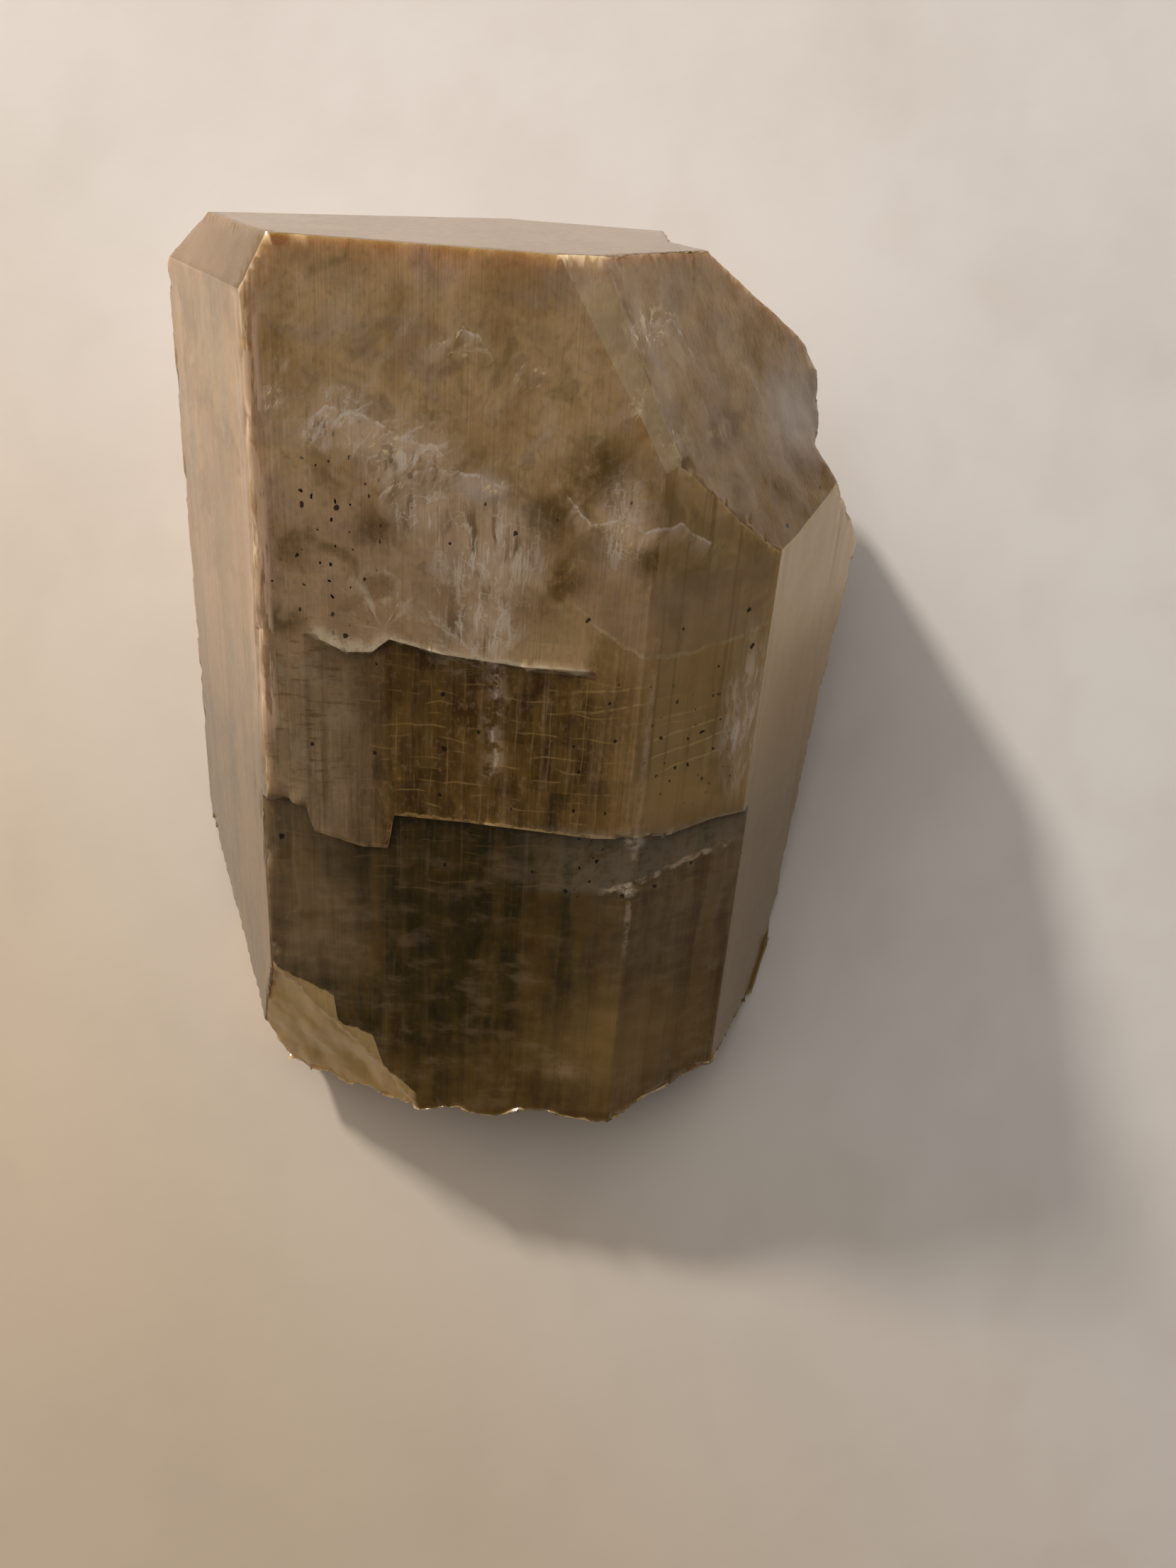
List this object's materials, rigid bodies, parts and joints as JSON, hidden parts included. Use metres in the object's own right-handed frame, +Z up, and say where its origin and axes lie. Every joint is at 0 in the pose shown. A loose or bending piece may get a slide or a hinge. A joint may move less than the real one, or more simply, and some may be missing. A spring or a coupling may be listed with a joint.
{
  "type": "apatite crystal",
  "caption": "Broken hexagonal apatite crystal, brown to olive, lying on an oblique break with its flat glassy end raised.",
  "frame": {"origin": "centre of the bounding box at the table, under the crystal", "axes": "+Z up from the table; +Y level, the way the crystal's long axis points towards its flat basal end face, which is the raised end; +X to the right across the front prism face"},
  "size_m": [0.0378, 0.052, 0.0244],
  "materials": {
    "apatite": "glassy"
  },
  "bodies": {
    "root": {"apatite_crystal": "apatite"}
  },
  "joints": []
}
